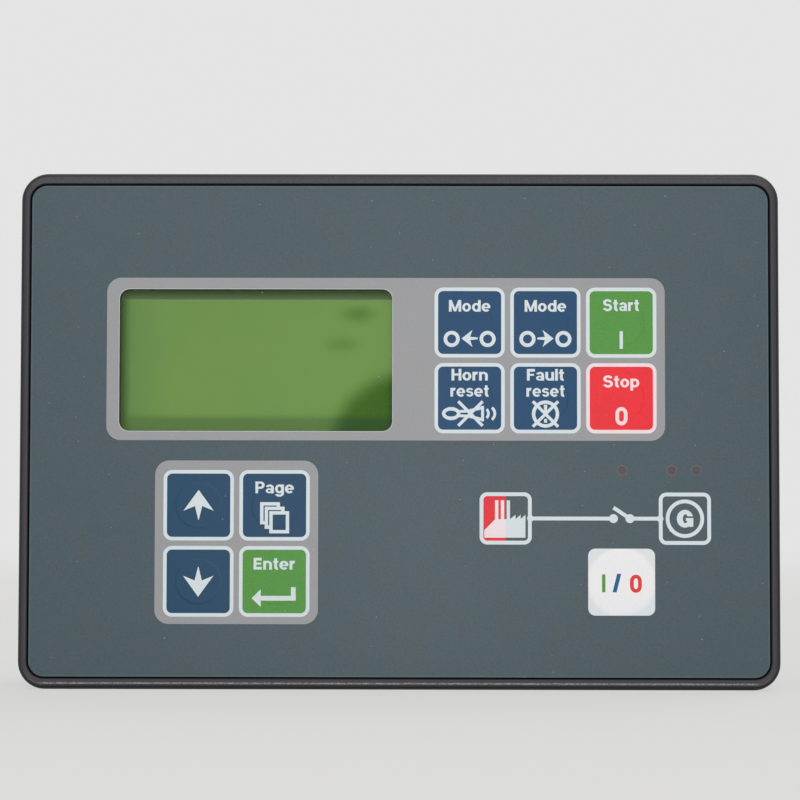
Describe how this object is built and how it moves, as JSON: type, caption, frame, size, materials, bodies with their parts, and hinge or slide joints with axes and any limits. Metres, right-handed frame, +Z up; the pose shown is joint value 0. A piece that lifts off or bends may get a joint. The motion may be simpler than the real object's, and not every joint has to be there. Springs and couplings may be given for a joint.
{
  "type": "genset controller",
  "caption": "Panel-mounted control unit for an engine and generator: printed film keypad with display in a dark frame, deep housing with pluggable terminals behind.",
  "frame": {"origin": "centre of the gasket face that meets the front of the panel", "axes": "+X to the right seen from the front, +Y into the panel, +Z up"},
  "size_m": [0.1806, 0.055, 0.1226],
  "materials": {
    "charcoal_plastic": "fine spark-textured moulding",
    "slate_film": "matt printed film",
    "grey_ink": "matt print under film",
    "pale_ink": "matt print under film",
    "blue_ink": "matt print under film",
    "green_ink": "matt print under film",
    "red_ink": "matt print under film",
    "clear_pane": "clear polycarbonate",
    "foam": "closed-cell foam",
    "tinned_steel": "tinned sheet",
    "display_green": "lit liquid crystal",
    "milky_plastic": "natural moulding",
    "circuit_board": "solder mask",
    "chip_black": "moulded",
    "potting_blue": "potted",
    "can_sleeve": "shrink sleeve",
    "copper_winding": "enamelled copper",
    "terminal_green": "moulded polyamide",
    "lamp_red": "tinted epoxy",
    "zinc_steel": "zinc plated"
  },
  "bodies": {
    "controller": {"front_bezel": "charcoal_plastic", "keypad_film": "slate_film", "print_grey": "grey_ink", "print_pale": "pale_ink", "print_blue": "blue_ink", "print_green": "green_ink", "print_red": "red_ink", "display_window": "clear_pane", "panel_gasket": "foam", "display_frame": "tinned_steel", "display_glass": "display_green", "light_guide": "milky_plastic", "front_board": "circuit_board", "processor": "chip_black", "board_link": "chip_black", "terminal_board": "circuit_board", "terminal_screws": "zinc_steel", "current_transformer_1": "potting_blue", "current_transformer_2": "potting_blue", "current_transformer_3": "potting_blue", "supply_capacitor": "can_sleeve", "supply_choke": "copper_winding", "buffer_battery": "tinned_steel", "rear_housing": "charcoal_plastic", "module_cover": "charcoal_plastic", "housing_screws": "zinc_steel", "board_screws": "zinc_steel", "key_switch_mode_left": "chip_black", "key_switch_mode_right": "chip_black", "key_switch_start": "chip_black", "key_switch_horn_reset": "chip_black", "key_switch_fault_reset": "chip_black", "key_switch_stop": "chip_black", "key_switch_up": "chip_black", "key_switch_page": "chip_black", "key_switch_down": "chip_black", "key_switch_enter": "chip_black", "key_switch_breaker": "chip_black", "status_lamp_breaker": "lamp_red", "status_lamp_source_left": "lamp_red", "status_lamp_source_right": "lamp_red", "terminal_header_outputs": "terminal_green", "terminal_header_voltage": "terminal_green", "terminal_header_inputs": "terminal_green", "terminal_header_sensors": "terminal_green", "terminal_plug_outputs": "terminal_green", "terminal_plug_voltage": "terminal_green", "terminal_plug_inputs": "terminal_green", "terminal_plug_sensors": "terminal_green"},
    "key_mode_left": {"key_button_mode_left": "milky_plastic"},
    "key_mode_right": {"key_button_mode_right": "milky_plastic"},
    "key_start": {"key_button_start": "milky_plastic"},
    "key_horn_reset": {"key_button_horn_reset": "milky_plastic"},
    "key_fault_reset": {"key_button_fault_reset": "milky_plastic"},
    "key_stop": {"key_button_stop": "milky_plastic"},
    "key_up": {"key_button_up": "milky_plastic"},
    "key_page": {"key_button_page": "milky_plastic"},
    "key_down": {"key_button_down": "milky_plastic"},
    "key_enter": {"key_button_enter": "milky_plastic"},
    "key_breaker": {"key_button_breaker": "milky_plastic"}
  },
  "joints": [
    {"name": "key_mode_left_press", "type": "slide", "parent": "controller", "child": "key_mode_left", "axis": [0, 1, 0], "range_m": [0, 0.0003], "stiffness_N_per_m": 4000},
    {"name": "key_mode_right_press", "type": "slide", "parent": "controller", "child": "key_mode_right", "axis": [0, 1, 0], "range_m": [0, 0.0003], "stiffness_N_per_m": 4000},
    {"name": "key_start_press", "type": "slide", "parent": "controller", "child": "key_start", "axis": [0, 1, 0], "range_m": [0, 0.0003], "stiffness_N_per_m": 4000},
    {"name": "key_horn_reset_press", "type": "slide", "parent": "controller", "child": "key_horn_reset", "axis": [0, 1, 0], "range_m": [0, 0.0003], "stiffness_N_per_m": 4000},
    {"name": "key_fault_reset_press", "type": "slide", "parent": "controller", "child": "key_fault_reset", "axis": [0, 1, 0], "range_m": [0, 0.0003], "stiffness_N_per_m": 4000},
    {"name": "key_stop_press", "type": "slide", "parent": "controller", "child": "key_stop", "axis": [0, 1, 0], "range_m": [0, 0.0003], "stiffness_N_per_m": 4000},
    {"name": "key_up_press", "type": "slide", "parent": "controller", "child": "key_up", "axis": [0, 1, 0], "range_m": [0, 0.0003], "stiffness_N_per_m": 4000},
    {"name": "key_page_press", "type": "slide", "parent": "controller", "child": "key_page", "axis": [0, 1, 0], "range_m": [0, 0.0003], "stiffness_N_per_m": 4000},
    {"name": "key_down_press", "type": "slide", "parent": "controller", "child": "key_down", "axis": [0, 1, 0], "range_m": [0, 0.0003], "stiffness_N_per_m": 4000},
    {"name": "key_enter_press", "type": "slide", "parent": "controller", "child": "key_enter", "axis": [0, 1, 0], "range_m": [0, 0.0003], "stiffness_N_per_m": 4000},
    {"name": "key_breaker_press", "type": "slide", "parent": "controller", "child": "key_breaker", "axis": [0, 1, 0], "range_m": [0, 0.0003], "stiffness_N_per_m": 4000}
  ]
}
